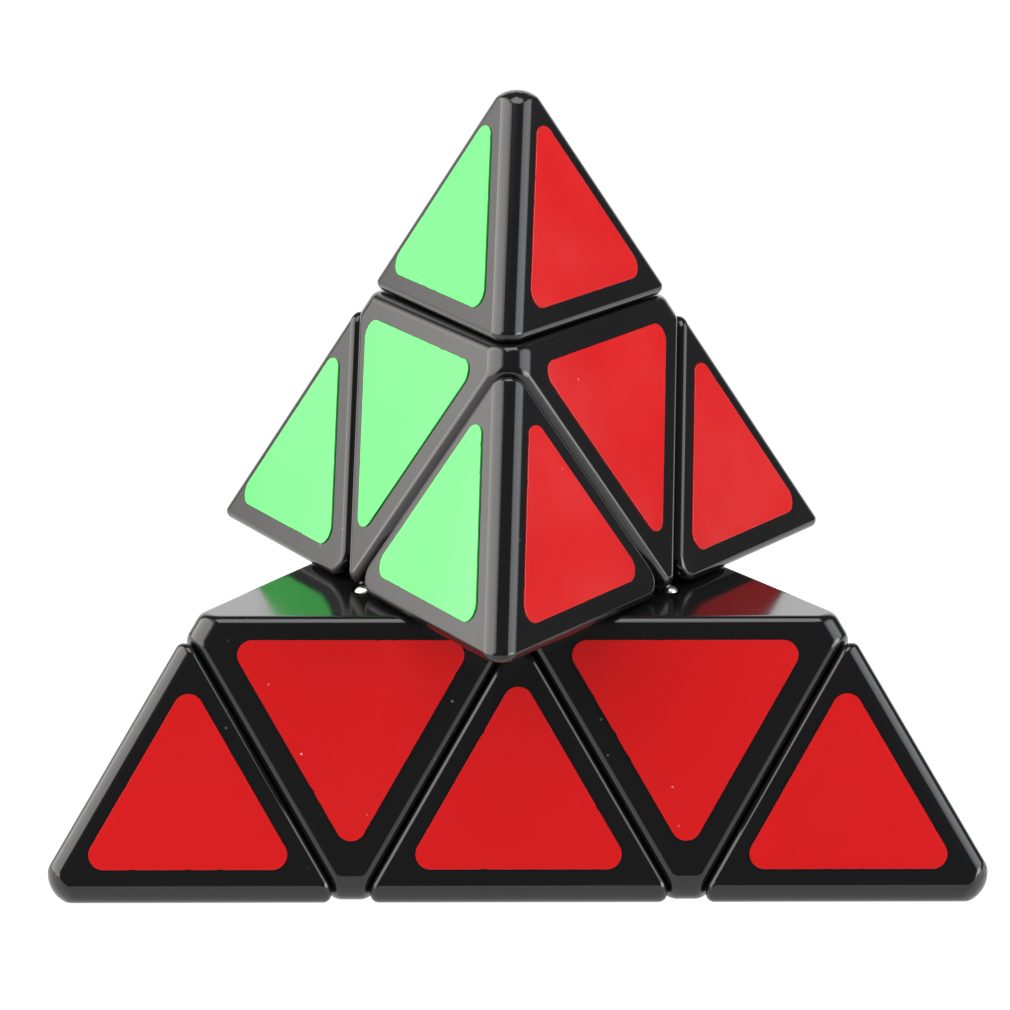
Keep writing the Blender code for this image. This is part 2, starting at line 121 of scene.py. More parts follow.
# Steps of the meshes' curves, and limits for what counts as flat, sharp or the same.
ROUND_STEPS = 10
TIP_DOME_STEPS = 8
TURNED_SIDES = 48
TRACK_SIDES = 144
FOOT_ROOM_STEPS = 24
STEM_ROOM_STEPS = 16
BALL_STEPS = 32
WIRE_STEPS_PER_TURN = 28
WIRE_SIDES = 10
STICKER_ARC_STEPS = 12
STICKER_SIDE_STEPS = 36
FLAT_ANGLE = math.radians(0.3)
SHARP_ANGLE = math.radians(35)
SAME_DIRECTION = 0.9999
SMALLEST_RADIUS = 1e-7
PARALLEL_PLANES = 1e-6
ON_PLANE = 1e-9

# Colours. A sticker's drifts between a deeper and a lighter tone in streaky patches, a painted
# sheen that stands in for reflections.
BLACK = (0.005, 0.005, 0.0056)
DUST_ON_BLACK = (0.14, 0.135, 0.13)
INNER_BLACK = (0.03, 0.03, 0.032)
CORE_WHITE = (0.75, 0.75, 0.73)
BALL_STEEL = (0.92, 0.88, 0.82)
PLATED_STEEL = (0.55, 0.55, 0.57)
DUST_ON_VINYL = (0.8, 0.75, 0.7)
VINYL_AND_SHEEN_TONES = {
    "red": ((0.4, 0.005, 0.006), (0.46, 0.007, 0.008)),
    "green": ((0.01, 0.52, 0.05), (0.07, 0.62, 0.11)),
    "yellow": ((0.8, 0.5, 0.01), (0.85, 0.58, 0.02)),
    "blue": ((0.006, 0.04, 0.38), (0.01, 0.055, 0.45)),
}

HALF_EDGE_ANGLE = math.acos(1 / math.sqrt(3))
TOP, OTHERS = 0, (1, 2, 3)
CORNER_NAMES = ("top", "left", "right", "rear")
EDGE_NAMES = {
    (0, 1): "upper_front",
    (0, 2): "upper_right",
    (0, 3): "upper_left",
    (1, 2): "lower_front",
    (1, 3): "lower_left",
    (2, 3): "lower_right",
}


# ---------------------------------------------------------------- directions and places


def corner_directions():
    """Unit directions from the centre to the top, left, right and rear corners."""
    low_radius = math.sqrt(8) / 3
    directions = [Vector((0, 0, 1))]
    for azimuth in (-150, -30, 90):
        angle = math.radians(azimuth)
        low = (low_radius * math.cos(angle), low_radius * math.sin(angle), -1 / 3)
        directions.append(Vector(low))
    return directions


DIRECTIONS = corner_directions()


def edge_direction(first, second):
    return (DIRECTIONS[first] + DIRECTIONS[second]).normalized()


def axes_of(first, second):
    along_first = first.normalized()
    across = along_first.cross(second).normalized()
    return Matrix((along_first, across.cross(along_first), across)).transposed()


def turn_to(first, second):
    """Rotation of the tetrahedron that takes corners 0 and 1 to these two."""
    here = axes_of(DIRECTIONS[0], DIRECTIONS[1])
    there = axes_of(DIRECTIONS[first], DIRECTIONS[second])
    return (there @ here.transposed()).to_4x4()


def turn_to_corner(corner):
    return turn_to(corner, 0 if corner else 1)


def along(direction):
    """Rotation that takes +Z to a direction."""
    return Vector((0, 0, 1)).rotation_difference(direction).to_matrix().to_4x4()


def layer_place(in_top_layer):
    """Frame of the blocks of the top layer, or of the rest, at the puzzle's centre."""
    turn = Matrix.Rotation(TOP_LAYER_TURN if in_top_layer else 0.0, 4, "Z")
    return Matrix.Translation(CENTRE) @ turn


def tip_turn(corner):
    """The top tip stands a little short of its layer."""
    return Matrix() if corner else Matrix.Rotation(TOP_TIP_TURN, 4, "Z")


def detent_frame(other):
    """Frame of one of the top corner's balls: origin on the block's face, +Z outward."""
    outward = DIRECTIONS[1]
    inward = DIRECTIONS[TOP] - outward * DIRECTIONS[TOP].dot(outward)
    point = outward * BLOCK_FACE + inward.normalized() * BALL_AXIS_DISTANCE
    return turn_to(TOP, other) @ Matrix.Translation(point) @ along(outward)


# ---------------------------------------------------------------- mesh tools


def mesh_object(name, bm):
    mesh = bpy.data.meshes.new(name)
    bmesh.ops.recalc_face_normals(bm, faces=bm.faces)
    bm.to_mesh(mesh)
    bm.free()
    made = bpy.data.objects.new(name, mesh)
    bpy.context.collection.objects.link(made)
    return made


def corners_of(planes):
    """Corner points of the solid inside planes, each a normal and a distance."""
    normals = np.array([tuple(normal) for normal, _ in planes])
    distances = np.array([distance for _, distance in planes])
    triples = np.array(list(itertools.combinations(range(len(planes)), 3)))
    matrices = normals[triples]
    solvable = np.abs(np.linalg.det(matrices)) > PARALLEL_PLANES
    right = distances[triples][solvable][:, :, None]
    points = np.linalg.solve(matrices[solvable], right)[:, :, 0]
    inside = (points @ normals.T <= distances + ON_PLANE).all(axis=1)
    return np.unique(np.round(points[inside], 8), axis=0)


def steps_between(normals, steps):
    """Unit directions spread over the spherical polygon that some normals span."""
    shares = [
        share
        for share in itertools.product(range(steps + 1), repeat=len(normals))
        if sum(share) == steps
    ]
    sums = np.array(shares) @ np.array([tuple(normal) for normal in normals])
    return sums / np.linalg.norm(sums, axis=1)[:, None]


def outer_planes(faces, radius=OUTER_ROUND):
    """Outer faces of the tetrahedron, and planes that touch the rounding between them."""
    inner = [d * (CORNER_DISTANCE - 3 * radius) for d in DIRECTIONS]
    planes = []
    for direction in steps_between([-DIRECTIONS[face] for face in faces], ROUND_STEPS):
        reach = max(corner.dot(Vector(direction)) for corner in inner)
        planes.append((direction, reach + radius))
    return planes


def hull(name, points):
    bm = bmesh.new()
    for point in points:
        bm.verts.new(point)
    made = bmesh.ops.convex_hull(bm, input=bm.verts)
    left_over = dict.fromkeys(made["geom_interior"] + made["geom_unused"])
    bmesh.ops.delete(bm, geom=[v for v in left_over if isinstance(v, bmesh.types.BMVert)])
    bmesh.ops.dissolve_limit(bm, angle_limit=FLAT_ANGLE, verts=bm.verts, edges=bm.edges)
    return mesh_object(name, bm)


def rounded_block(name, planes, patches, fillet=FILLET):
    """Solid inside the planes with every edge rounded to the fillet's radius."""
    core = corners_of([(normal, distance - fillet) for normal, distance in planes])
    directions = np.vstack([steps_between(patch, ROUND_STEPS) for patch in patches])
    directions = np.unique(np.round(directions, 9), axis=0)
    points = (core[:, None, :] + fillet * directions[None, :, :]).reshape(-1, 3)
    return hull(name, points)


def turned(name, profile, sides=TURNED_SIDES, closed=False):
    """Solid of revolution about Z of (radius, height) points, top to bottom or a loop."""
    bm = bmesh.new()
    rings = []
    for radius, height in profile:
        if radius < SMALLEST_RADIUS:
            rings.append([bm.verts.new((0, 0, height))])
            continue
        angles = [2 * math.pi * side / sides for side in range(sides)]
        rings.append(
            [bm.verts.new((radius * math.cos(a), radius * math.sin(a), height)) for a in angles]
        )
    followers = rings[1:] + rings[:1] if closed else rings[1:]
    for upper, lower in zip(rings, followers):
        for side in range(sides):
            after = (side + 1) % sides
            corners = [
                upper[side % len(upper)],
                lower[side % len(lower)],
                lower[after % len(lower)],
                upper[after % len(upper)],
            ]
            bm.faces.new(dict.fromkeys(corners))
    return mesh_object(name, bm)


def arc(radius, start, end, steps):
    """Profile points on a sphere about the origin, by angle from Z."""
    angles = [start + (end - start) * step / steps for step in range(steps + 1)]
    return [(radius * math.sin(a), radius * math.cos(a)) for a in angles]


def placed(tool, matrix):
    tool.matrix_world = matrix
    return tool


def shaped(base, operations):
    """Applies (operation, object) Booleans to base in turn, and removes what they used."""
    for operation, tool in operations:
        modifier = base.modifiers.new(operation.lower(), "BOOLEAN")
        modifier.operation = operation
        modifier.object = tool
        modifier.solver = "EXACT"
    bpy.context.view_layer.update()
    evaluated = base.evaluated_get(bpy.context.evaluated_depsgraph_get())
    mesh = bpy.data.meshes.new_from_object(evaluated)
    for used in [base] + [tool for _, tool in operations]:
        bpy.data.objects.remove(used)
    return mesh


def loose_mesh(made):
    """The object's mesh, without the object."""
    mesh = made.data
    bpy.data.objects.remove(made)
    return mesh


# ---------------------------------------------------------------- blocks


def ball_track(direction):
    """Cutter for the channel about a layer's axis, in the side of a block above the cut."""
    inside = BALL_AXIS_DISTANCE - TRACK_HALF_WIDTH
    outside = BALL_AXIS_DISTANCE + TRACK_HALF_WIDTH
    ceiling = LAYER_FACE + TRACK_DEPTH
    profile = [(outside, ceiling), (outside, 0), (inside, 0), (inside, ceiling)]
    return placed(turned("ball_track", profile, TRACK_SIDES, closed=True), along(direction))


def corner_shell_mesh():
    """Corner block under the top tip, hollow, with room for the feet, the hub and the balls."""
    planes = [(DIRECTIONS[TOP], TIP_DISTANCE - PLAY / 2)]
    planes += [(-DIRECTIONS[TOP], -LAYER_FACE)]
    planes += [(DIRECTIONS[other], BLOCK_FACE) for other in OTHERS]
    for pair in itertools.combinations(OTHERS, 2):
        planes += outer_planes(pair, CORNER_ROUND)
    patches = []
    for pair in itertools.combinations(range(4), 2):
        away = [-DIRECTIONS[i] for i in range(4) if i not in pair]
        patches += [[DIRECTIONS[i], *away] for i in pair]
    shell = rounded_block("corner_shell", planes, patches, CORNER_FILLET)

    foot_room = turned("foot_room", arc(FOOT_ROOM, 0, math.pi, FOOT_ROOM_STEPS))
    tools = [("DIFFERENCE", foot_room)]
    tools.append(("DIFFERENCE", ball_track(DIRECTIONS[TOP])))
    room_angle = HALF_EDGE_ANGLE + STEM_ROOM_ANGLE
    for other in OTHERS:
        profile = arc(STEM_ROOM_END, 0, room_angle, STEM_ROOM_STEPS) + [(0, 0)]
        stem_room = turned("stem_room", profile)
        tools.append(("DIFFERENCE", placed(stem_room, along(DIRECTIONS[other]))))
    bore = [
        (0, CORNER_DISTANCE),
        (STALK_ROOM, CORNER_DISTANCE),
        (STALK_ROOM, CORNER_ROOF),
        (HUB_ROOM, CORNER_ROOF),
        (HUB_ROOM, 0),
        (0, 0),
    ]
    tools.append(("DIFFERENCE", turned("hub_room", bore)))
    for other in OTHERS:
        profile = [
            (0, WALL),
            (BALL_BORE_RADIUS + BALL_BORE_LIP + WALL, WALL),
            (BALL_BORE_RADIUS, -BALL_BORE_LIP),
            (BALL_BORE_RADIUS, -BALL_BORE_DEPTH),
            (0, -BALL_BORE_DEPTH),
        ]
        ball_bore = turned("ball_bore", profile)
        tools.append(("DIFFERENCE", placed(ball_bore, detent_frame(other))))
    return shaped(shell, tools)


def tip_mesh():
    """Hollow tip with a domed end, and the barbed stalk that it turns on."""
    planes = [(-DIRECTIONS[TOP], -TIP_DISTANCE - PLAY / 2), (DIRECTIONS[TOP], TIP_END)]
    planes += outer_planes(OTHERS)
    patches = [[-DIRECTIONS[other] for other in OTHERS]]
    for first, second in itertools.combinations(OTHERS, 2):
        dome = [DIRECTIONS[TOP], -DIRECTIONS[first], -DIRECTIONS[second]]
        for direction in steps_between(dome, TIP_DOME_STEPS):
            rise = DIRECTIONS[TOP].dot(Vector(direction))
            if math.cos(TIP_DOME_SPREAD) < rise < SAME_DIRECTION:
                reach = (TIP_END - TIP_DOME_RADIUS) * rise + TIP_DOME_RADIUS
                planes.append((direction, reach))
        for end in (DIRECTIONS[TOP], -DIRECTIONS[TOP]):
            patches.append([end, -DIRECTIONS[first], -DIRECTIONS[second]])
    shell = rounded_block("tip", planes, patches)

    hollow_planes = [(-DIRECTIONS[other], FACE_DISTANCE - WALL) for other in OTHERS]
    hollow_planes.append((-DIRECTIONS[TOP], -TIP_DISTANCE + WALL))
    hollow_planes.append((DIRECTIONS[TOP], STALK_TOP - WALL))
    hollow = hull("tip_hollow", corners_of(hollow_planes))
    stalk = [
        (0, STALK_TOP),
        (STALK_RADIUS, STALK_TOP),
        (STALK_RADIUS, BARB[1]),
        (BARB_RADIUS, BARB[1]),
        (STALK_RADIUS, BARB[0]),
        (0, BARB[0]),
    ]
    return shaped(shell, [("DIFFERENCE", hollow), ("UNION", turned("stalk", stalk))])


def edge_window():
    """Square post along edge 0-1's direction, its diagonals in the edge's two mirror planes."""
    outward = edge_direction(0, 1)
    across = (DIRECTIONS[0] - DIRECTIONS[1]).normalized()
    sideways = outward.cross(across)
    points = []
    for height in (0, CORNER_DISTANCE):
        for offset in (across, sideways, -across, -sideways):
            points.append(outward * height + offset * EDGE_WINDOW)
    return hull("edge_window", points)


def side_planes():
    """The two sides of edge 0-1, and planes that touch the rounding where they meet."""
    axis = edge_direction(0, 1)
    middle = axis * (LAYER_FACE + INNER_ROUND) / axis.dot(DIRECTIONS[0])
    planes = []
    for direction in steps_between([-DIRECTIONS[0], -DIRECTIONS[1]], ROUND_STEPS):
        planes.append((direction, middle.dot(Vector(direction)) + INNER_ROUND))
    return planes


def edge_shell_mesh():
    """Shell of the block on edge 0-1, open on the inside, with a ball track in each side."""
    planes = side_planes() + outer_planes((2, 3))
    patches = [[-DIRECTIONS[i] for i in three] for three in itertools.combinations(range(4), 3)]
    shell = rounded_block("edge_shell", planes, patches)
    limits = [(-DIRECTIONS[face], FACE_DISTANCE - WALL) for face in (2, 3)]
    limits += [(-DIRECTIONS[side], 0) for side in (0, 1)]
    room = hull("edge_room", corners_of(limits))
    hollow_mesh = shaped(edge_window(), [("INTERSECT", room)])
    hollow = bpy.data.objects.new("edge_hollow", hollow_mesh)
    bpy.context.collection.objects.link(hollow)
    tools = [("DIFFERENCE", hollow)]
    tools += [("DIFFERENCE", ball_track(DIRECTIONS[side])) for side in (0, 1)]
    return shaped(shell, tools)


def coil_mesh(name, radius, wire, low, high, turns):
    """Wire spring about Z whose last turns lie flat, as ground spring ends do."""
    steps = int(turns * WIRE_STEPS_PER_TURN)
    one_turn = 1 / turns
    flat = one_turn * SPRING_FLAT_SHARE
    bm = bmesh.new()
    rings = []
    for step in range(steps + 1):
        share = step / steps
        rise = min(max((share - flat) / (1 - 2 * flat), 0), 1)
        angle = 2 * math.pi * step / WIRE_STEPS_PER_TURN
        outward = Vector((math.cos(angle), math.sin(angle), 0))
        end_lift = 2 * wire * (min(share / one_turn, 1) - max((share - 1) / one_turn + 1, 0))
        height = low + wire + end_lift + (high - low - 4 * wire) * rise
        centre = outward * radius + Vector((0, 0, height))
        ring = []
        for side in range(WIRE_SIDES):
            around = 2 * math.pi * side / WIRE_SIDES
            offset = outward * math.cos(around) + Vector((0, 0, math.sin(around)))
            ring.append(bm.verts.new(centre + offset * wire))
        rings.append(ring)
    for near, far in zip(rings, rings[1:]):
        for side in range(WIRE_SIDES):
            after = (side + 1) % WIRE_SIDES
            bm.faces.new((near[side], near[after], far[after], far[side]))
    bm.faces.new(rings[0])
    bm.faces.new(rings[-1])
    return loose_mesh(mesh_object(name, bm))


def ball_mesh():
    """Ball about Z that stands out of the block's face, which is at z = 0."""
    ball = loose_mesh(turned("detent_ball", arc(BALL_RADIUS, 0, math.pi, BALL_STEPS)))
    ball.transform(Matrix.Translation((0, 0, BALL_STANDS_OUT - BALL_RADIUS)))
    return ball


# ---------------------------------------------------------------- stickers


def heading_vector(degrees):
    angle = math.radians(degrees)
    return Vector((math.cos(angle), math.sin(angle)))


def sticker_outline(side, inset, seed):
    """Outline of a die-cut triangle, one corner towards +Y, with small nicks along its cut."""
    draw = random.Random(seed)
    nicks = {}
    for _ in range(STICKER_NICKS):
        spot = draw.randrange(3 * STICKER_SIDE_STEPS)
        nicks[spot] = draw.uniform(*NICK_DEPTH)
    reach = side / math.sqrt(3) - 2 * STICKER_ROUND
    radius = STICKER_ROUND - inset
    points = []
    for corner in range(3):
        heading = 90 + 120 * corner
        centre = heading_vector(heading) * reach
        for step in range(STICKER_ARC_STEPS + 1):
            turn = -60 + 120 * step / STICKER_ARC_STEPS
            points.append(centre + heading_vector(heading + turn) * radius)
        last = points[-1]
        outward = heading_vector(heading + 60)
        goal = heading_vector(heading + 120) * reach + outward * radius
        for step in range(1, STICKER_SIDE_STEPS):
            nick = nicks.get(corner * STICKER_SIDE_STEPS + step, 0)
            dent = (nick + draw.uniform(0, CUT_WAVER)) * MM
            points.append(last.lerp(goal, step / STICKER_SIDE_STEPS) - outward * dent)
    return points


def sticker_mesh(side, seed):
    """Thin film with a rounded upper rim, its underside on z = 0."""
    levels = [
        (0, 0),
        (0, STICKER_THICKNESS - STICKER_RIM),
        (0.3 * STICKER_RIM, STICKER_THICKNESS - 0.3 * STICKER_RIM),
        (STICKER_RIM, STICKER_THICKNESS),
    ]
    bm = bmesh.new()
    rings = []
    for inset, height in levels:
        outline = sticker_outline(side, inset, seed)
        rings.append([bm.verts.new((point.x, point.y, height)) for point in outline])
    for lower, upper in zip(rings, rings[1:]):
        for here in range(len(lower)):
            after = (here + 1) % len(lower)
            bm.faces.new((lower[here], lower[after], upper[after], upper[here]))
    bm.faces.new(rings[0][::-1])
    bm.faces.new(rings[-1])
    return loose_mesh(mesh_object("sticker", bm))


def sticker_frame(face, weights, kind):
    """Place of a sticker on a face, from the weights that give its middle on the corners."""
    corners = [direction * CORNER_DISTANCE for direction in DIRECTIONS]
    normal = -DIRECTIONS[face]
    middle = sum((corners[i] * weight for i, weight in weights.items()), Vector()) / 9
    face_middle = normal * FACE_DISTANCE
    away = (middle - face_middle).normalized()
    up = away if kind == "tip" else -away
    right = DIRECTIONS[TOP if face else 1].cross(normal).normalized()
    drift = STICKER_DRIFT[FACE_COLOURS[face]]
    origin = middle + away * STICKER_SHIFT[kind] + right * drift.x + normal.cross(right) * drift.y
    rotation = Matrix((up.cross(normal), up, normal)).transposed().to_4x4()
    return Matrix.Translation(origin) @ rotation


# ---------------------------------------------------------------- materials


class Shader:
    """Small helper that adds nodes to one Principled material."""

    def __init__(self, name):
        self.material = bpy.data.materials.new(name)
        self.material.use_nodes = True
        self.nodes = self.material.node_tree.nodes
        self.links = self.material.node_tree.links
        self.principled = self.nodes["Principled BSDF"]
        place = self.nodes.new("ShaderNodeTexCoord")
        info = self.nodes.new("ShaderNodeObjectInfo")
        shift = self.nodes.new("ShaderNodeVectorMath")
        shift.operation = "ADD"
        self.links.new(place.outputs["Object"], shift.inputs[0])
        self.links.new(info.outputs["Random"], shift.inputs[1])
        self.place = shift.outputs[0]

    def set(self, **values):
        for name, value in values.items():
            self.principled.inputs[name.replace("_", " ")].default_value = value

    def noise(self, scale, detail=2.0, stretch=None):
        """Noise; stretch holds the scale and then the rotation of its space."""
        made = self.nodes.new("ShaderNodeTexNoise")
        made.inputs["Scale"].default_value = scale
        made.inputs["Detail"].default_value = detail
        place = self.place
        if stretch:
            mapping = self.nodes.new("ShaderNodeMapping")
            mapping.inputs["Scale"].default_value = stretch[:3]
            mapping.inputs["Rotation"].default_value = stretch[3:]
            self.links.new(place, mapping.inputs["Vector"])
            place = mapping.outputs[0]
        self.links.new(place, made.inputs["Vector"])
        return made.outputs["Fac"]

    def specks(self, scale, size):
        """1 in small dots, 0 elsewhere."""
        made = self.nodes.new("ShaderNodeTexVoronoi")
        made.inputs["Scale"].default_value = scale
        self.links.new(self.place, made.inputs["Vector"])
        return self.range(made.outputs["Distance"], size, 0.4 * size, 0, 1)

    def dust(self, scale, size, cloud_scale, cloud_start, cloud_full=0.7):
        """Small dots that gather where a wide noise is high."""
        clouds = self.range(self.noise(cloud_scale), cloud_start, cloud_full, 0, 1)
        return self.maths("MULTIPLY", self.specks(scale, size), clouds)

    def range(self, value, low, high, to_low, to_high):
        made = self.nodes.new("ShaderNodeMapRange")
        made.inputs["From Min"].default_value = low
        made.inputs["From Max"].default_value = high
        made.inputs["To Min"].default_value = to_low
        made.inputs["To Max"].default_value = to_high
        self.links.new(value, made.inputs["Value"])
        return made.outputs["Result"]

    def maths(self, operation, first, second):
        made = self.nodes.new("ShaderNodeMath")
        made.operation = operation
        for socket, value in zip(made.inputs, (first, second)):
            if isinstance(value, (int, float)):
                socket.default_value = value
            else:
                self.links.new(value, socket)
        return made.outputs[0]

    def mix(self, factor, first, second):
        made = self.nodes.new("ShaderNodeMix")
        made.data_type = "RGBA"
        self.links.new(factor, made.inputs["Factor"])
        for name, value in (("A", first), ("B", second)):
            socket = next(s for s in made.inputs if s.name == name and s.type == "RGBA")
            if isinstance(value, tuple):
                socket.default_value = (*value, 1)
            else:
                self.links.new(value, socket)
        return next(s for s in made.outputs if s.type == "RGBA")

    def bump(self, height, strength, distance, below=None):
        made = self.nodes.new("ShaderNodeBump")
        made.inputs["Strength"].default_value = strength
        made.inputs["Distance"].default_value = distance
        self.links.new(height, made.inputs["Height"])
        if below:
            self.links.new(below, made.inputs["Normal"])
        return made.outputs[0]

    def connect(self, value, name):
        self.links.new(value, self.principled.inputs[name])


def black_plastic():
    """High gloss moulded black, with dust, wipe marks and hair scratches."""
    made = Shader("black_plastic")
    made.set(IOR=1.45)
    dust = made.dust(scale=520, size=0.1, cloud_scale=60, cloud_start=0.55)
    made.connect(made.mix(dust, BLACK, DUST_ON_BLACK), "Base Color")
    smears = made.range(made.noise(55, detail=4.0), 0.35, 0.75, to_low=0.07, to_high=0.17)
    made.connect(made.maths("ADD", smears, made.maths("MULTIPLY", dust, 0.4)), "Roughness")
    hairs = made.noise(900, stretch=(0.03, 1, 1, 0.4, 0.9, 0.3))
    scratches = made.range(hairs, 0.66, 0.72, to_low=0, to_high=1)
    fine = made.bump(scratches, strength=0.05, distance=0.02 * MM)
    waves = made.bump(made.noise(160), strength=0.02, distance=0.2 * MM, below=fine)
    made.connect(waves, "Normal")
    return made.material


def sticker_vinyl_and_sheen(colour):
    """Semi-gloss film with a little dust; its base colour drifts between two tones in streaky
    patches, a painted sheen.
    """
    made = Shader("sticker_vinyl_" + colour)
    # Painted sheen: streaky patches of a deeper and a lighter tone in the base colour stand in
    # for reflections of the lights' edges.
    patches = made.noise(45, detail=1.0, stretch=(1, 1, 0.35, 0.5, 0.4, 0))
    color = made.mix(patches, *VINYL_AND_SHEEN_TONES[colour])
    dust = made.dust(scale=420, size=0.06, cloud_scale=45, cloud_start=0.58)
    made.connect(made.mix(dust, color, DUST_ON_VINYL), "Base Color")
    gloss = made.range(made.noise(90), 0.3, 0.7, to_low=0.14, to_high=0.25)
    made.connect(gloss, "Roughness")
    grain = made.bump(made.noise(2600), strength=0.03, distance=0.02 * MM)
    waves = made.bump(made.noise(50, detail=1.0), strength=0.15, distance=0.3 * MM, below=grain)
    made.connect(waves, "Normal")
    return made.material


def satin_plastic(name, color):
    """Moulded plastic with a fine, even grain."""
    made = Shader(name)
    darker = tuple(0.85 * c for c in color)
    tint = made.range(made.noise(120, detail=3.0), 0.3, 0.7, to_low=0, to_high=1)
    made.connect(made.mix(tint, darker, color), "Base Color")
    gloss = made.range(made.noise(400, detail=3.0), 0.3, 0.7, to_low=0.38, to_high=0.55)
    made.connect(gloss, "Roughness")
    grain = made.bump(made.noise(3000), strength=0.1, distance=0.02 * MM)
    made.connect(grain, "Normal")
    return made.material


def metal(name, color, low, high):
    """Metal with slight wear, its roughness between low and high."""
    made = Shader(name)
    made.set(Metallic=1.0)
    darker = tuple(0.75 * c for c in color)
    wear = made.range(made.noise(700, detail=3.0), 0.35, 0.7, to_low=0, to_high=1)
    made.connect(made.mix(wear, color, darker), "Base Color")
    gloss = made.range(made.noise(500, detail=3.0), 0.3, 0.7, to_low=low, to_high=high)
    made.connect(gloss, "Roughness")
    return made.material


# ---------------------------------------------------------------- putting it together


def piece(name, shape, matrix, body, finish, replaces=None):
    """Object with its own copy of a shape, whose place is in its mesh as on the CAD nodes."""
    mesh = shape.copy()
    mesh.transform(matrix)
    mesh.materials.append(finish)
    mesh.shade_smooth()
    mesh.set_sharp_from_angle(angle=SHARP_ANGLE)
    made = bpy.data.objects.new(name, mesh)
    bpy.context.collection.objects.link(made)
    even = made.modifiers.new("even_normals", "WEIGHTED_NORMAL")
    even.keep_sharp = True
    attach(made, body)
    if replaces:
        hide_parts(replaces)
    return made


def body_of_corner(corner):
    return f"{CORNER_NAMES[corner]}_corner"


def body_of_edge(first):
    return "core" if first else "top_edges"


def stand_in(word, node, shape, matrix, body, finish):
    """Piece that takes the place of a CAD node, and is named after it."""
    piece(f"{word}_{node}", shape, matrix, body, finish, node)


def add_corners(black, steel, spring_wire):
    """Corner blocks and tips, with the springs and balls that belong to them."""
    corner_shell = corner_shell_mesh()
    tip = tip_mesh()
    ball = ball_mesh()
    main_spring = coil_mesh("main_spring", *MAIN_SPRING)
    detent_spring = coil_mesh("detent_spring", *DETENT_SPRING)
    for corner, word in enumerate(CORNER_NAMES):
        place = layer_place(corner == TOP) @ turn_to_corner(corner)
        tip_place = place @ tip_turn(corner)
        spring_place = layer_place(False) @ turn_to_corner(corner)
        body = body_of_corner(corner)
        stand_in("gloss", f"corner_shell_{word}", corner_shell, place, body, black)
        stand_in("gloss", f"tip_{word}", tip, tip_place, f"{word}_tip", black)
        stand_in("wire", f"main_spring_{word}", main_spring, spring_place, "core", spring_wire)
        for number, other in enumerate(OTHERS, start=1):
            detent = f"{word}_{number}"
            detent_place = place @ detent_frame(other)
            stand_in("polished", f"detent_ball_{detent}", ball, detent_place,
                     f"{word}_ball_{number}", steel)
            stand_in("wire", f"detent_spring_{detent}", detent_spring, detent_place,
                     body, spring_wire)


def add_edges(black):
    edge_shell = edge_shell_mesh()
    for (first, second), word in EDGE_NAMES.items():
        place = layer_place(first == TOP) @ turn_to(first, second)
        stand_in("gloss", f"edge_shell_{word}", edge_shell, place, body_of_edge(first), black)


def add_stickers(vinyls):
    """Nine stickers on each face, one on every block that shows in it.

    A sticker's middle is given by weights on the face's three corners that add up to nine.
    """
    for face in range(4):
        on_face = [i for i in range(4) if i != face]
        for i in on_face:
            away = [j for j in on_face if j != i]
            word = CORNER_NAMES[i]
            weights = {i: 7, away[0]: 1, away[1]: 1}
            add_sticker(face, weights, "tip", i == TOP, f"{word}_tip", word, vinyls)
            weights = {i: 5, away[0]: 2, away[1]: 2}
            add_sticker(face, weights, "corner", i == TOP, body_of_corner(i), word, vinyls)
        for first, second in itertools.combinations(on_face, 2):
            third = next(i for i in on_face if i not in (first, second))
            weights = {first: 4, second: 4, third: 1}
            word = EDGE_NAMES[(first, second)]
            add_sticker(face, weights, "edge", first == TOP, body_of_edge(first), word, vinyls)


def add_sticker(face, weights, kind, in_top_layer, body, word, vinyls):
    """One sticker; its name also seeds the flaws of its cut."""
    colour = FACE_COLOURS[face]
    name = f"sticker_{colour}_{kind}_{word}"
    mesh = sticker_mesh(STICKER_SIDE[kind], name)
    place = layer_place(in_top_layer)
    if kind == "tip" and in_top_layer:
        place = place @ tip_turn(TOP)
    place = place @ sticker_frame(face, weights, kind)
    piece(name, mesh, place, body, vinyls[colour])


def finish_hidden_nodes(inner, white, screw):
    """The inner CAD nodes keep their shape and get their real finish."""
    for name, node in frame["nodes"].items():
        if name.startswith(("edge_foot", "corner_hub")):
            finish = inner
        elif name == "core":
            finish = white
        elif name.startswith("screw"):
            finish = screw
        else:
            continue
        node.data.materials.clear()
        node.data.materials.append(finish)


# ---------------------------------------------------------------- stage, light and camera

CAMERA_FROM_AXIS = Vector((-12.0, -514.1, 171.9)) * MM
CAMERA_AZIMUTH = math.radians(1.22)
CAMERA_DOWN = math.radians(14.83)
CAMERA_ROLL = math.radians(0.3)
CAMERA_LENS = 174.5
CAMERA_SENSOR = 36.0
CAMERA_CLIP_START = 10 * MM

# A lit floor, as white as the backdrop.
FLOOR_HALF_SIZE = 3.0
FLOOR_COLOR = (0.25, 0.25, 0.25, 1)
FLOOR_ROUGHNESS = 0.6
FLOOR_GLOW = 1.0
FLOOR_GAP = 0.02 * MM

# Soft glows in the studio's walls: azimuth and elevation of the middle, angles from there at
# which it starts to fade and is gone, strength and colour.
GLOWS = (
    (182, 24, 30, 47, 5.4, (1.0, 0.965, 0.92)),
    (-6, 30, 12, 30, 3.8, (0.96, 0.98, 1.0)),
    (-22, 2, 10, 28, 8.0, (1.0, 1.0, 1.0)),
)
BACKDROP = (0.68, 0.88, 0.12, 1.9)  # fades in over these shares of +Y, from dark to bright
# Azimuth, elevation, distance, width, height and power.
TOP_SOFTBOX = (-70, 84, 0.9, 0.6, 0.5, 4.5)


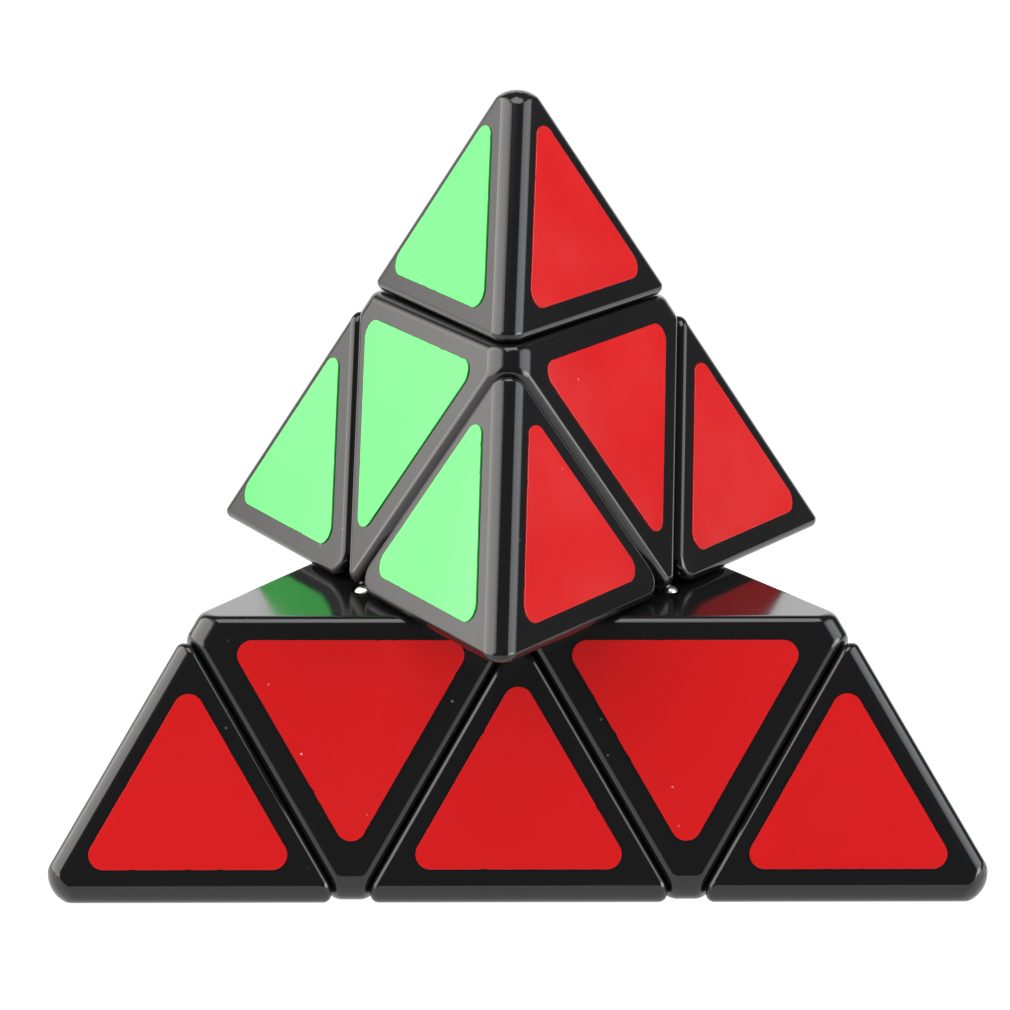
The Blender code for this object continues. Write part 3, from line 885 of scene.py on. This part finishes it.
def add_camera():
    data = bpy.data.cameras.new("camera")
    data.lens = CAMERA_LENS
    data.sensor_width = CAMERA_SENSOR
    data.clip_start = CAMERA_CLIP_START
    camera = bpy.data.objects.new("camera", data)
    bpy.context.collection.objects.link(camera)
    forward = Vector(
        (
            math.sin(CAMERA_AZIMUTH) * math.cos(CAMERA_DOWN),
            math.cos(CAMERA_AZIMUTH) * math.cos(CAMERA_DOWN),
            -math.sin(CAMERA_DOWN),
        )
    )
    right = forward.cross(Vector((0, 0, 1))).normalized()
    up = right.cross(forward)
    rolled = Matrix.Rotation(-CAMERA_ROLL, 3, forward)
    axes = Matrix((rolled @ right, rolled @ up, -forward)).transposed().to_4x4()
    foot = Vector((CENTRE.x, CENTRE.y, 0))
    camera.matrix_world = Matrix.Translation(foot + CAMERA_FROM_AXIS) @ axes
    bpy.context.scene.camera = camera


def add_floor():
    """The stickers under the base rest on it, so it lies a little below z = 0."""
    bm = bmesh.new()
    bmesh.ops.create_grid(bm, x_segments=1, y_segments=1, size=FLOOR_HALF_SIZE)
    floor = mesh_object("floor", bm)
    floor.location.z = -STICKER_THICKNESS - FLOOR_GAP
    made = Shader("floor_white")
    made.set(Base_Color=FLOOR_COLOR, Roughness=FLOOR_ROUGHNESS)
    made.set(Emission_Color=(1, 1, 1, 1), Emission_Strength=FLOOR_GLOW)
    floor.data.materials.append(made.material)


def direction_of(azimuth, elevation):
    around = math.radians(azimuth)
    up = math.radians(elevation)
    flat = math.cos(up)
    return Vector((math.cos(around) * flat, math.sin(around) * flat, math.sin(up)))


def add_softbox(name, azimuth, elevation, distance, width, height, power):
    """Area light aimed at the puzzle's centre, placed by its direction from there."""
    away = direction_of(azimuth, elevation)
    data = bpy.data.lights.new(name, "AREA")
    data.shape = "RECTANGLE"
    data.size = width
    data.size_y = height
    data.energy = power
    light = bpy.data.objects.new(name, data)
    bpy.context.collection.objects.link(light)
    light.location = CENTRE + away * distance
    light.rotation_euler = (-away).to_track_quat("-Z", "Y").to_euler()


class World:
    """White behind the puzzle for the camera; for the puzzle, dark walls with soft glows."""

    def __init__(self):
        world = bpy.data.worlds.new("studio")
        bpy.context.scene.world = world
        world.use_nodes = True
        self.nodes = world.node_tree.nodes
        self.links = world.node_tree.links
        self.nodes.clear()
        self.direction = self.nodes.new("ShaderNodeTexCoord").outputs["Generated"]

    def background(self, color, strength=None):
        made = self.nodes.new("ShaderNodeBackground")
        made.inputs["Color"].default_value = (*color, 1)
        if strength:
            self.links.new(strength, made.inputs["Strength"])
        return made.outputs[0]

    def fade(self, towards, start, end, low, high):
        """Strength by how far a direction points towards another, as a cosine."""
        share = self.nodes.new("ShaderNodeVectorMath")
        share.operation = "DOT_PRODUCT"
        share.inputs[1].default_value = towards
        self.links.new(self.direction, share.inputs[0])
        made = self.nodes.new("ShaderNodeMapRange")
        made.interpolation_type = "SMOOTHSTEP"
        made.inputs["From Min"].default_value = start
        made.inputs["From Max"].default_value = end
        made.inputs["To Min"].default_value = low
        made.inputs["To Max"].default_value = high
        self.links.new(share.outputs["Value"], made.inputs["Value"])
        return made.outputs["Result"]

    def build(self):
        """Adds the backdrop and the glows up, and shows the camera plain white instead."""
        felt = self.background((1, 1, 1), self.fade((0, 1, 0), *BACKDROP))
        for azimuth, elevation, inner, outer, strength, color in GLOWS:
            gone = math.cos(math.radians(outer))
            full = math.cos(math.radians(inner))
            fade = self.fade(direction_of(azimuth, elevation), gone, full, 0, strength)
            both = self.nodes.new("ShaderNodeAddShader")
            self.links.new(felt, both.inputs[0])
            self.links.new(self.background(color, fade), both.inputs[1])
            felt = both.outputs[0]
        mix = self.nodes.new("ShaderNodeMixShader")
        path = self.nodes.new("ShaderNodeLightPath")
        self.links.new(path.outputs["Is Camera Ray"], mix.inputs[0])
        self.links.new(felt, mix.inputs[1])
        self.links.new(self.background((1, 1, 1)), mix.inputs[2])
        out = self.nodes.new("ShaderNodeOutputWorld")
        self.links.new(mix.outputs[0], out.inputs["Surface"])


def main():
    bpy.context.scene.view_settings.view_transform = "Standard"
    add_camera()
    add_floor()
    World().build()
    add_softbox("top_softbox", *TOP_SOFTBOX)
    black = black_plastic()
    steel = metal("polished_steel", BALL_STEEL, 0.24, 0.32)
    spring_wire = metal("spring_wire", PLATED_STEEL, 0.2, 0.35)
    add_corners(black, steel, spring_wire)
    add_edges(black)
    add_stickers({colour: sticker_vinyl_and_sheen(colour) for colour in VINYL_AND_SHEEN_TONES})
    finish_hidden_nodes(
        satin_plastic("inner_plastic", INNER_BLACK),
        satin_plastic("core_plastic", CORE_WHITE),
        metal("screw_plating", PLATED_STEEL, 0.2, 0.3),
    )


main()
